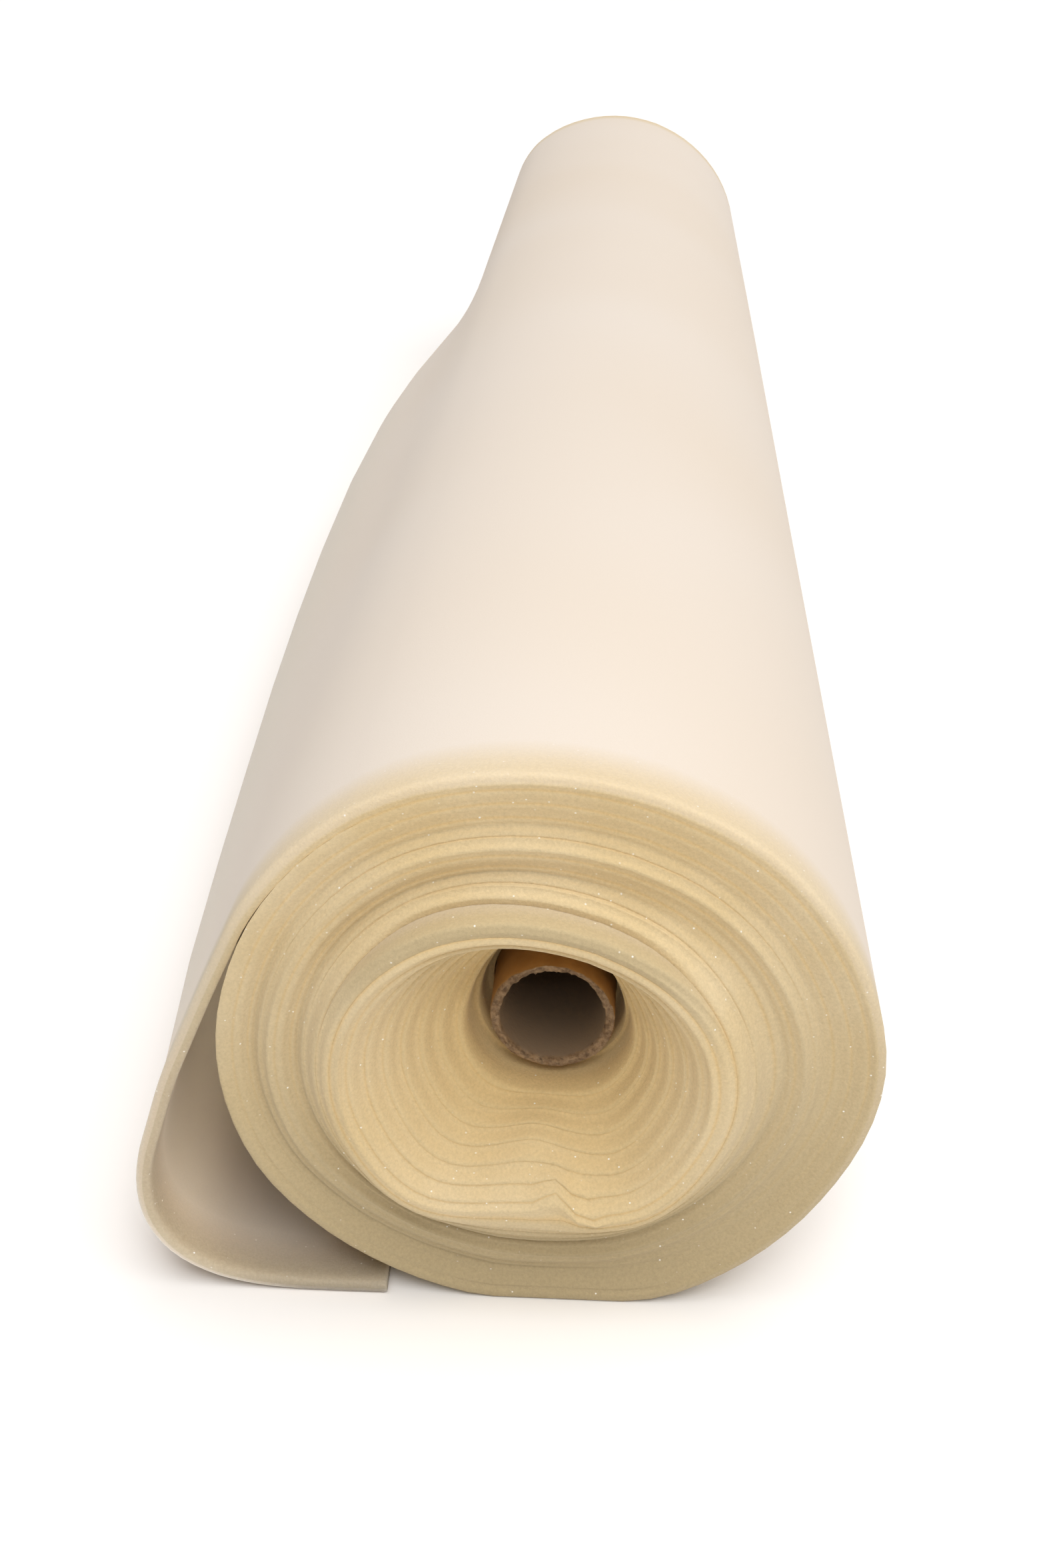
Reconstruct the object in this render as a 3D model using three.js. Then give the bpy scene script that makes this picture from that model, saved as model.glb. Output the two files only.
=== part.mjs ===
// A roll of foam sheet lying on its side on the floor, wound on a cardboard core.
// Units are millimetres. +Z is up, +Y runs along the roll away from its open near end.
// The origin is on the floor, under the roll's axis, halfway along the sheet's width.
import * as THREE from "three";

// Driving dimensions
const SHEET_WIDTH = 1473;
const SHEET_THICKNESS = 6.35;
const CORE_LENGTH = 1524;
const CORE_RADIUS = 25.2;
const CORE_WALL = 3.9;
const AXIS_HEIGHT = 123.2;
const CLEARANCE = 0.3;

// The winding, counted in turns from the sheet's inner end
const SEGMENTS_PER_TURN = 36;
const START_ANGLE = 70;
const SEAM_ANGLE = 120;
const FULL_TURNS = 17;
const TURNS = FULL_TURNS + (SEAM_ANGLE - START_ANGLE) / 360;
const INNER_PITCH = 5.38;
const PITCH_GAIN = 0.0675;
const START_THICKNESS = 0.4;
const START_RAMP = 0.15;
const BORE_RADIUS = CORE_RADIUS + CLEARANCE + 0.1;

// How the turns' edges look at both ends
const EDGE_CHAMFER = 1.3;
const GROOVE_DEPTH = 1.6;

// The turns have slid along each other: how far the near edge of the sheet lies behind its outermost turn
const EDGE_SLIDE = [
  { turn: 0.0, slide: 60 },
  { turn: 0.6, slide: 58 },
  { turn: 1.15, slide: 30 },
  { turn: 2.15, slide: 24 },
  { turn: 3.15, slide: 17 },
  { turn: 4.15, slide: 10.5 },
  { turn: 5.15, slide: 4.5 },
  { turn: 6.15, slide: -1.5 },
  { turn: 6.8, slide: -6 },
  { turn: 7.5, slide: -9 },
  { turn: 7.9, slide: -13.5 },
  { turn: 8.75, slide: -13.5 },
  { turn: 9.15, slide: -11.5 },
  { turn: 9.75, slide: -11.5 },
  { turn: 10.2, slide: -5 },
  { turn: 10.7, slide: -5 },
  { turn: 11.1, slide: 3 },
  { turn: 12.1, slide: 1 },
  { turn: 12.9, slide: 0 },
  { turn: 13.6, slide: 0 },
  { turn: 14.1, slide: 4 },
  { turn: 15.1, slide: 2 },
  { turn: 16.1, slide: 0 },
  { turn: 18.2, slide: 0 },
];

// How much further back the edge lies over the core than under it, and between which heights on the
// unit circle that comes in
const ROOF_SLIDE = [
  { turn: 0.0, slide: 1 },
  { turn: 0.7, slide: 5 },
  { turn: 1.1, slide: 14 },
  { turn: 2.1, slide: 11 },
  { turn: 3.1, slide: 9 },
  { turn: 4.1, slide: 7 },
  { turn: 5.1, slide: 4.5 },
  { turn: 6.1, slide: 1.5 },
  { turn: 7.1, slide: -2 },
  { turn: 8.1, slide: -2 },
  { turn: 9.1, slide: -6.5 },
  { turn: 10.1, slide: 1.5 },
  { turn: 11.1, slide: 0 },
  { turn: 18.2, slide: 0 },
];
const ROOF_FROM = 0.1;
const ROOF_FULL = 0.95;

// The roll's slump: how each ring of the section is moved off the axis and flattened, by its wound radius
const SLUMP = [
  { radius: 25.6, right: 2.2, up: 0.4, flatten: 0 },
  { radius: 34, right: 1, up: 0.2, flatten: 0 },
  { radius: 50, right: -2.5, up: 0, flatten: 0 },
  { radius: 72, right: -3.8, up: 0, flatten: 0.006 },
  { radius: 105, right: -1, up: 0, flatten: 0.0125 },
  { radius: 122, right: 0, up: 0, flatten: 0 },
];

// The outermost turn's bulges and hollows: how far it is pushed out round the roll, at either end
const BULGE_FROM = 60;
const BULGE = [
  { angle: 0, near: 4.3, far: 4.6 },
  { angle: 13, near: 3.3, far: 4.2 },
  { angle: 30, near: 2, far: 3.4 },
  { angle: 50, near: 1.6, far: 2 },
  { angle: 80, near: 0.8, far: 0.8 },
  { angle: 110, near: 0, far: -1.2 },
  { angle: 130, near: 0, far: -0.8 },
  { angle: 140, near: 0, far: -3.4 },
  { angle: 150, near: 0, far: -8 },
  { angle: 160, near: 0, far: -10.4 },
  { angle: 170, near: 0.6, far: -8.4 },
  { angle: 180, near: 1.4, far: -4 },
  { angle: 190, near: 2, far: 0 },
  { angle: 205, near: 2.6, far: 1.5 },
  { angle: 222, near: 0.9, far: 0.9 },
  { angle: 240, near: -0.5, far: -0.5 },
  { angle: 252, near: -1, far: -1 },
  { angle: 270, near: 0, far: 0 },
  { angle: 284, near: 1.6, far: 1.6 },
  { angle: 295, near: 2.6, far: 2.6 },
  { angle: 308, near: 1.7, far: 1 },
  { angle: 330, near: 1.2, far: 1.5 },
  { angle: 360, near: 4.3, far: 4.6 },
];

// How much of the far end's bulges the roll has along it, from the near end at 0 to the far end at 1
const CHANGE = [
  { along: 0, change: 0 },
  { along: 0.3, change: 0.1 },
  { along: 0.5, change: 0.55 },
  { along: 0.68, change: 1 },
  { along: 1, change: 1 },
];
const OUTSIDE_ROWS = [0.2, 0.3, 0.35, 0.4, 0.45, 0.5, 0.55, 0.6, 0.65, 0.7];

// The buckle under the near end's funnel: how far each ring is pushed up, by its wound radius
const BUCKLE_ANGLE = 268;
const BUCKLE_HALF_WIDTH = 38;
const BUCKLE = [
  { radius: 25.6, rise: 0 },
  { radius: 36, rise: 4 },
  { radius: 48, rise: 11 },
  { radius: 55, rise: 13.5 },
  { radius: 66, rise: 11.5 },
  { radius: 73, rise: 10.5 },
  { radius: 80, rise: 6.5 },
  { radius: 92, rise: 0 },
  { radius: 140, rise: 0 },
];

// The flat spot that the roll stands on presses its outer turns, from this radius outwards
const PRESSED_FROM = 75;

// The loose end's middle line where it has left the roll: at its near end, halfway along and at its far end.
// Each row is back in its far form from its settled share of the way along.
const LOOSE_LINE = [
  { nearX: -112.6, nearZ: 188.2, midX: -114, midZ: 187, farX: -105.6, farZ: 184.2, settled: 0.65 },
  { nearX: -121.8, nearZ: 169.8, midX: -132, midZ: 166.5, farX: -112.3, farZ: 165, settled: 0.69 },
  { nearX: -139.2, nearZ: 132.4, midX: -157, midZ: 138, farX: -125.6, farZ: 130, settled: 0.77 },
  { nearX: -149.2, nearZ: 109.8, midX: -172.5, midZ: 116, farX: -133.2, farZ: 110, settled: 0.84 },
  { nearX: -157.3, nearZ: 86.7, midX: -186.5, midZ: 92, farX: -141.1, farZ: 89, settled: 0.9 },
  { nearX: -162.6, nearZ: 70.5, midX: -194, midZ: 74, farX: -147.5, farZ: 71, settled: 0.95 },
  { nearX: -165.4, nearZ: 54, midX: -198, midZ: 56, farX: -151.5, farZ: 53, settled: 1 },
  { nearX: -163.4, nearZ: 35.5, midX: -196.5, midZ: 37, farX: -150.8, farZ: 36, settled: 1 },
  { nearX: -155.3, nearZ: 21, midX: -188, midZ: 21.5, farX: -143.5, farZ: 21, settled: 1 },
  { nearX: -140, nearZ: 10.2, midX: -173, midZ: 10.4, farX: -129, farZ: 10, settled: 1 },
  { nearX: -123.4, nearZ: 5.4, midX: -156.5, midZ: 5.5, farX: -112, farZ: 5, settled: 1 },
  { nearX: -106.6, nearZ: 3.6, midX: -140, midZ: 3.6, farX: -95, farZ: 3.5, settled: 1 },
  { nearX: -89.8, nearZ: 3.175, midX: -123, midZ: 3.175, farX: -78, farZ: 3.175, settled: 1 },
  { nearX: -69, nearZ: 3.175, midX: -102, midZ: 3.175, farX: -55, farZ: 3.175, settled: 1 },
  { nearX: -40, nearZ: 3.175, midX: -73, midZ: 3.175, farX: -30, farZ: 3.175, settled: 1 },
];
const LOOSE_WRAP = [120.2, 130, 140];
const LOOSE_LENGTH = 341;
const LOOSE_STEPS = 34;
const LOOSE_RIBS = 20;

// How far the loose end takes its halfway form along the roll, from the near end at 0 to the far end at 1
const BOW_PEAK = 0.5;
const BOW = [
  { along: 0, bow: 0 },
  { along: 0.1, bow: 0.34 },
  { along: 0.2, bow: 0.6 },
  { along: 0.3, bow: 0.82 },
  { along: 0.42, bow: 0.98 },
  { along: 0.5, bow: 1 },
  { along: 0.6, bow: 0.93 },
  { along: 0.7, bow: 0.76 },
  { along: 0.8, bow: 0.5 },
  { along: 0.9, bow: 0.22 },
  { along: 1, bow: 0 },
];

// The core's torn near end
const CORE_NEAR_END = 35;
const CORE_SEGMENTS = 48;
const TEAR_DEPTH = 0.9;

const COLOURS = { foam: 0xeadfc0, facing: 0xe9e0d6, card: 0x9c7f5c };

const degrees = THREE.MathUtils.degToRad;
const nearEdge = -SHEET_WIDTH / 2;

// Reads a column of a table at a key, smoothly between its rows.
function lookUp(table, key, column, at) {
  const last = table.length - 1;
  if (at <= table[0][key]) return table[0][column];
  if (at >= table[last][key]) return table[last][column];
  const i = table.findIndex((row) => row[key] > at) - 1;
  const share = (at - table[i][key]) / (table[i + 1][key] - table[i][key]);
  return THREE.MathUtils.lerp(
    table[i][column],
    table[i + 1][column],
    THREE.MathUtils.smoothstep(share, 0, 1),
  );
}

const angleOf = (turn) => START_ANGLE + 360 * turn;

// How far the near edge has slid back at a turn.
function edgeSlide(turn) {
  const height = Math.sin(degrees(angleOf(turn)));
  const over = THREE.MathUtils.smoothstep(height, ROOF_FROM, ROOF_FULL);
  return lookUp(EDGE_SLIDE, "turn", "slide", turn) + over * lookUp(ROOF_SLIDE, "turn", "slide", turn);
}

// The wound sheet's thickness, pinched to almost nothing where it starts on the core.
function pitch(turn) {
  const share = THREE.MathUtils.smoothstep(turn, 0, START_RAMP);
  return THREE.MathUtils.lerp(START_THICKNESS, INNER_PITCH + PITCH_GAIN * turn, share);
}

// The radius of the sheet's inner side: each turn lies on the one before.
function woundRadius(turn) {
  let radius = BORE_RADIUS;
  for (let below = turn - 1; below >= 0; below -= 1) radius += pitch(below);
  return radius;
}

// The pushed-up buckle's share at an angle, with a slight bulge on either side of it.
function buckleShare(angle) {
  const bell = (centre, halfWidth) => {
    const away = Math.abs(angle - centre);
    return away < halfWidth ? 0.5 + 0.5 * Math.cos((Math.PI * away) / halfWidth) : 0;
  };
  const side = bell(BUCKLE_ANGLE - 42, 24) + bell(BUCKLE_ANGLE + 42, 24);
  return bell(BUCKLE_ANGLE, BUCKLE_HALF_WIDTH) - 0.15 * side;
}

// The outermost wound radius at an angle, without the loose end.
function outsideRadius(angle) {
  const past = (((angle - SEAM_ANGLE) % 360) + 360) % 360;
  return woundRadius(TURNS + past / 360);
}

// How far the outermost turn is pushed out at an angle, at a share of the way along the roll.
function bulge(angle, along) {
  const near = lookUp(BULGE, "angle", "near", angle);
  const far = lookUp(BULGE, "angle", "far", angle);
  return THREE.MathUtils.lerp(near, far, lookUp(CHANGE, "along", "change", along));
}

// Moves a point of the round winding to where the slumped roll has it.
function slump(radius, angle, along, buckled) {
  const turned = ((angle % 360) + 360) % 360;
  const across = Math.cos(degrees(turned));
  const upward = Math.sin(degrees(turned));
  const flatten = lookUp(SLUMP, "radius", "flatten", radius);
  const outside = outsideRadius(turned);
  const widest = outside + bulge(turned, along);
  const loosened = THREE.MathUtils.smoothstep(radius, BULGE_FROM, outside);
  let reach = radius + loosened * (widest - outside);
  const toFloor = upward < 0 ? AXIS_HEIGHT / (-upward * (1 - flatten)) : Infinity;
  if (toFloor < widest) {
    const pressed = THREE.MathUtils.smoothstep(radius, PRESSED_FROM, outside);
    reach *= 1 - pressed * (1 - toFloor / widest);
  }
  if (buckled) reach -= lookUp(BUCKLE, "radius", "rise", radius) * buckleShare(turned);
  const x = lookUp(SLUMP, "radius", "right", radius) + reach * across * (1 + flatten);
  const z = AXIS_HEIGHT + lookUp(SLUMP, "radius", "up", radius) + reach * upward * (1 - flatten);
  return [x, Math.abs(z) < 0.02 ? 0 : z];
}

// Collects shared points and faces, and gives them back as an indexed geometry.
class Shell {
  points = [];
  faces = [];

  point(x, y, z) {
    this.points.push(x, y, z);
    return this.points.length / 3 - 1;
  }

  // Two triangles across a, b, c and d, taken counter-clockwise as seen from outside.
  quad(a, b, c, d) {
    this.faces.push(a, b, c, a, c, d);
  }

  // Joins two rows of points that run side by side.
  strip(left, right) {
    for (let i = 0; i + 1 < left.length; i++) {
      this.quad(left[i], right[i], right[i + 1], left[i + 1]);
    }
  }

  geometry() {
    const made = new THREE.BufferGeometry();
    made.setAttribute("position", new THREE.Float32BufferAttribute(this.points, 3));
    made.setIndex(this.faces);
    made.computeVertexNormals();
    return made;
  }
}

function solid(name, geometry, colour, roughness) {
  const material = new THREE.MeshStandardMaterial({ color: colour, roughness, metalness: 0 });
  const mesh = new THREE.Mesh(geometry, material);
  mesh.name = name;
  return mesh;
}

// One end face of the winding: a groove, two edge corners and the next groove for each step along the spiral.
// side is -1 at the near end and 1 at the far end. Returns the face's inner and outer rims.
function endFace(shell, side) {
  const steps = Math.round(TURNS * SEGMENTS_PER_TURN);
  const base = side < 0 ? nearEdge : nearEdge + SHEET_WIDTH;
  const deeper = side < 0 ? Math.max : Math.min;
  const put = (radius, turn, y) => {
    const [x, z] = slump(radius, angleOf(turn), side < 0 ? 0 : 1, side < 0);
    return shell.point(x, y, z);
  };
  const grooves = [];
  for (let i = 0; i <= steps + SEGMENTS_PER_TURN; i++) {
    const turn = i / SEGMENTS_PER_TURN;
    const inner = edgeSlide(Math.max(turn - 1, 0));
    const outer = edgeSlide(Math.min(turn, TURNS));
    const y = base + deeper(inner, outer) - side * GROOVE_DEPTH;
    grooves.push(put(woundRadius(turn), turn, y));
  }
  const lows = [];
  const highs = [];
  for (let i = 0; i <= steps; i++) {
    const turn = i / SEGMENTS_PER_TURN;
    const corner = Math.min(EDGE_CHAMFER, 0.25 * pitch(turn));
    const y = base + edgeSlide(turn);
    lows.push(put(woundRadius(turn) + corner, turn, y));
    highs.push(put(woundRadius(turn + 1) - corner, turn, y));
  }
  const outward = grooves.slice(SEGMENTS_PER_TURN);
  const join = side < 0 ? (a, b) => shell.strip(a, b) : (a, b) => shell.strip(b, a);
  join(grooves.slice(0, steps + 1), lows);
  join(lows, highs);
  join(highs, outward);
  const rim = (from, column) => [
    ...grooves.slice(from, from + SEGMENTS_PER_TURN + 1),
    highs[column],
    lows[column],
    grooves[from],
  ];
  return { bore: rim(0, 0), outside: rim(steps, steps) };
}

// A row of points across the roll's outside, as an end face's outer rim has them.
function outsideRow(shell, along) {
  const y = nearEdge + along * SHEET_WIDTH;
  const put = (radius, turn) => {
    const [x, z] = slump(radius, angleOf(turn), along, false);
    return shell.point(x, y, z);
  };
  const row = [];
  for (let step = 0; step <= SEGMENTS_PER_TURN; step++) {
    const turn = TURNS + step / SEGMENTS_PER_TURN;
    row.push(put(woundRadius(turn), turn));
  }
  const seam = woundRadius(TURNS + 1) - EDGE_CHAMFER;
  row.push(put(seam, TURNS), put(woundRadius(TURNS) + EDGE_CHAMFER, TURNS), row[0]);
  return row;
}

// The wound form: a stepped spiral at each end, joined by the outside and by the bore round the core.
function woundRoll() {
  const shell = new Shell();
  const near = endFace(shell, -1);
  const far = endFace(shell, 1);
  const between = OUTSIDE_ROWS.map((along) => outsideRow(shell, along));
  const rows = [near.outside, ...between, far.outside];
  for (let i = 0; i + 1 < rows.length; i++) shell.strip(rows[i], rows[i + 1]);
  shell.strip(far.bore, near.bore);
  return solid("foam_roll", shell.geometry(), COLOURS.foam, 0.95);
}

// A row's place at a share of the way along the roll: its halfway form blended into that of the closer end.
function looseRow(row, along) {
  const late = along > BOW_PEAK;
  const settling = (1 - BOW_PEAK) / (row.settled - BOW_PEAK);
  const share = late ? BOW_PEAK + (along - BOW_PEAK) * settling : along;
  const bow = lookUp(BOW, "along", "bow", share);
  const x = THREE.MathUtils.lerp(late ? row.farX : row.nearX, row.midX, bow);
  return new THREE.Vector3(x, 0, THREE.MathUtils.lerp(late ? row.farZ : row.nearZ, row.midZ, bow));
}

// The loose end's middle line across the roll, at a share of the way along it.
function looseLine(along) {
  const offRoll = CLEARANCE + SHEET_THICKNESS / 2;
  const wrapped = LOOSE_WRAP.map((angle) => {
    const [x, z] = slump(outsideRadius(angle) + offRoll, angle, along, false);
    return new THREE.Vector3(x, 0, z);
  });
  const free = LOOSE_LINE.map((row) => looseRow(row, along));
  const curve = new THREE.CatmullRomCurve3([...wrapped, ...free], false, "centripetal");
  curve.arcLengthDivisions = 600;
  return curve;
}

// The last stretch of the sheet, off the roll: one sheet of even thickness, cut straight at its end.
function looseEnd() {
  const shell = new Shell();
  const tops = [];
  const unders = [];
  for (let rib = 0; rib <= LOOSE_RIBS; rib++) {
    const along = rib / LOOSE_RIBS;
    const curve = looseLine(along);
    const share = LOOSE_LENGTH / curve.getLength();
    const outer = [];
    const inner = [];
    for (let step = 0; step <= LOOSE_STEPS; step++) {
      const at = (share * step) / LOOSE_STEPS;
      const middle = curve.getPointAt(at);
      const tangent = curve.getTangentAt(at);
      const y = nearEdge + along * SHEET_WIDTH;
      const place = (offset) => {
        const z = Math.max(middle.z + tangent.x * offset, 0);
        return shell.point(middle.x - tangent.z * offset, y, z);
      };
      outer.push(place(-SHEET_THICKNESS / 2));
      inner.push(place(SHEET_THICKNESS / 2));
    }
    tops.push(outer);
    unders.push(inner);
  }
  const column = (rows, step) => rows.map((row) => row[step]);
  for (let rib = 0; rib < LOOSE_RIBS; rib++) {
    shell.strip(tops[rib], tops[rib + 1]);
    shell.strip(unders[rib + 1], unders[rib]);
  }
  shell.strip(unders[0], tops[0]);
  shell.strip(tops[LOOSE_RIBS], unders[LOOSE_RIBS]);
  shell.strip(column(tops, 0), column(unders, 0));
  shell.strip(column(unders, LOOSE_STEPS), column(tops, LOOSE_STEPS));
  return solid("loose_end", shell.geometry(), COLOURS.facing, 0.9);
}

// How far the core's torn near end stands back at a step round it.
function tear(step) {
  const turn = (2 * Math.PI * step) / CORE_SEGMENTS;
  return TEAR_DEPTH * (1 + 0.6 * Math.sin(3 * turn + 0.7) + 0.4 * Math.sin(7 * turn));
}

// The cardboard tube, torn a little at its near end and cut square at its far end.
function coreTube() {
  const shell = new Shell();
  const { right, up } = SLUMP[0];
  const ring = (radius, end) => {
    const points = [];
    for (let step = 0; step < CORE_SEGMENTS; step++) {
      const turn = (2 * Math.PI * step) / CORE_SEGMENTS;
      const x = right + radius * Math.cos(turn);
      const z = AXIS_HEIGHT + up + radius * Math.sin(turn);
      points.push(shell.point(x, nearEdge + end(step), z));
    }
    return [...points, points[0]];
  };
  const near = (step) => CORE_NEAR_END + tear(step);
  const far = () => CORE_NEAR_END + CORE_LENGTH;
  const nearOuter = ring(CORE_RADIUS, near);
  const nearInner = ring(CORE_RADIUS - CORE_WALL, near);
  const farOuter = ring(CORE_RADIUS, far);
  const farInner = ring(CORE_RADIUS - CORE_WALL, far);
  shell.strip(nearInner, nearOuter);
  shell.strip(nearOuter, farOuter);
  shell.strip(farOuter, farInner);
  shell.strip(farInner, nearInner);
  return solid("core_tube", shell.geometry(), COLOURS.card, 0.85);
}

const roll = new THREE.Group();
roll.add(woundRoll(), looseEnd(), coreTube());

export default roll;
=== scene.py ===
"""A roll of foam stabilizer on its cardboard core, lying on a pale floor with its last stretch loose."""

import logging
import math
from bisect import bisect_right
from dataclasses import dataclass, field
from enum import Enum

import bmesh
import bpy
from mathutils import Matrix, Vector, noise


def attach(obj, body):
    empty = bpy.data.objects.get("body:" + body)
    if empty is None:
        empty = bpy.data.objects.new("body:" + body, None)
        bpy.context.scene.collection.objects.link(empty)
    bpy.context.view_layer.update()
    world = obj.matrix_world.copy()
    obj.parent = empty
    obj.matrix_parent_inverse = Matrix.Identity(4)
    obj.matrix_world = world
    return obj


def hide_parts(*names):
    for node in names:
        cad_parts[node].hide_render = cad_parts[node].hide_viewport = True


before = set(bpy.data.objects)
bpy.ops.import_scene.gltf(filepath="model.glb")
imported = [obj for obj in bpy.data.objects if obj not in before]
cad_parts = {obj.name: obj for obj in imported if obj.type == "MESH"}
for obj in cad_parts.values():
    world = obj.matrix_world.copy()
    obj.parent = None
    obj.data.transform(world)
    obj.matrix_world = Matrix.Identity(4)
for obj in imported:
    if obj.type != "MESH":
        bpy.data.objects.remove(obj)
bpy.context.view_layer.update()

MILLIMETRE = 0.001
NOISE_RANGE = (0.3, 0.7)
NOISE_MIDDLE = (0.35, 0.65)
MIX_FIRST, MIX_SECOND, MIX_RESULT = 6, 7, 2
log = logging.getLogger("foam_roll")

Colour = tuple[float, float, float, float]
Pair = tuple[float, float]
Row = tuple[float, ...]
Socket = bpy.types.NodeSocket


# Small helpers

def smooth(value: float, low: float, high: float) -> float:
    """Ease from 0 to 1 as a value goes from low to high.

    Args:
        value: The value to place.
        low: Where the ease starts.
        high: Where the ease ends.

    Returns:
        The eased share.
    """
    share = min(max((value - low) / (high - low), 0.0), 1.0)
    return share * share * (3.0 - 2.0 * share)


def mix(start: float, end: float, share: float) -> float:
    """Blend two numbers.

    Args:
        start: The number at share 0.
        end: The number at share 1.
        share: How far to go.

    Returns:
        The blended number.
    """
    return start + (end - start) * share


def linear(red: int, green: int, blue: int) -> Colour:
    """Turn a colour as seen on a screen into the linear one that a shader takes.

    Args:
        red: Red, from 0 to 255.
        green: Green, from 0 to 255.
        blue: Blue, from 0 to 255.

    Returns:
        The linear colour, opaque.
    """
    def channel(value: int) -> float:
        """Return one linear channel."""
        part = value / 255.0
        return part / 12.92 if part <= 0.04045 else ((part + 0.055) / 1.055) ** 2.4

    return channel(red), channel(green), channel(blue), 1.0


def finished_object(name: str, made: bmesh.types.BMesh, smooth_faces: bool = True) -> bpy.types.Object:
    """Turn a bmesh into an object of the scene.

    Args:
        name: The object's name.
        made: The bmesh, which is freed.
        smooth_faces: Whether its faces are shaded smooth.

    Returns:
        The object, at the origin.
    """
    mesh = bpy.data.meshes.new(name)
    made.to_mesh(mesh)
    made.free()
    for polygon in mesh.polygons:
        polygon.use_smooth = smooth_faces
    built = bpy.data.objects.new(name, mesh)
    bpy.context.scene.collection.objects.link(built)
    log.info("%s: %d vertices, %d faces", name, len(mesh.vertices), len(mesh.polygons))
    return built


@dataclass(frozen=True)
class Table:
    """Rows of sizes, read along a smooth curve that never overshoots them.

    Attributes:
        rows: The rows, in rising order of their first number, which is the key.
    """

    rows: tuple[Row, ...]

    def _slope(self, index: int, column: int) -> float:
        """Return the curve's slope at a row.

        Args:
            index: The row's number.
            column: Which number of the row.

        Returns:
            The slope, level at the ends and at each peak.
        """
        if index in (0, len(self.rows) - 1):
            return 0.0
        before, here, after = self.rows[index - 1 : index + 2]
        low = (here[column] - before[column]) / (here[0] - before[0])
        high = (after[column] - here[column]) / (after[0] - here[0])
        return 2.0 * low * high / (low + high) if low * high > 0.0 else 0.0

    def at(self, key: float, column: int = 1) -> float:
        """Read a column at a key.

        Args:
            key: Where to read.
            column: Which number of the rows.

        Returns:
            The number there.
        """
        if key <= self.rows[0][0]:
            return self.rows[0][column]
        if key >= self.rows[-1][0]:
            return self.rows[-1][column]
        index = bisect_right(self.rows, key, key=lambda row: row[0]) - 1
        low, high = self.rows[index], self.rows[index + 1]
        span = high[0] - low[0]
        share = (key - low[0]) / span
        left, right = self._slope(index, column) * span, self._slope(index + 1, column) * span
        rise = high[column] - low[column]
        cubic = left + right - 2.0 * rise
        square = 3.0 * rise - 2.0 * left - right
        return low[column] + share * (left + share * (square + share * cubic))


# The wound form and the loose end

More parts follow.
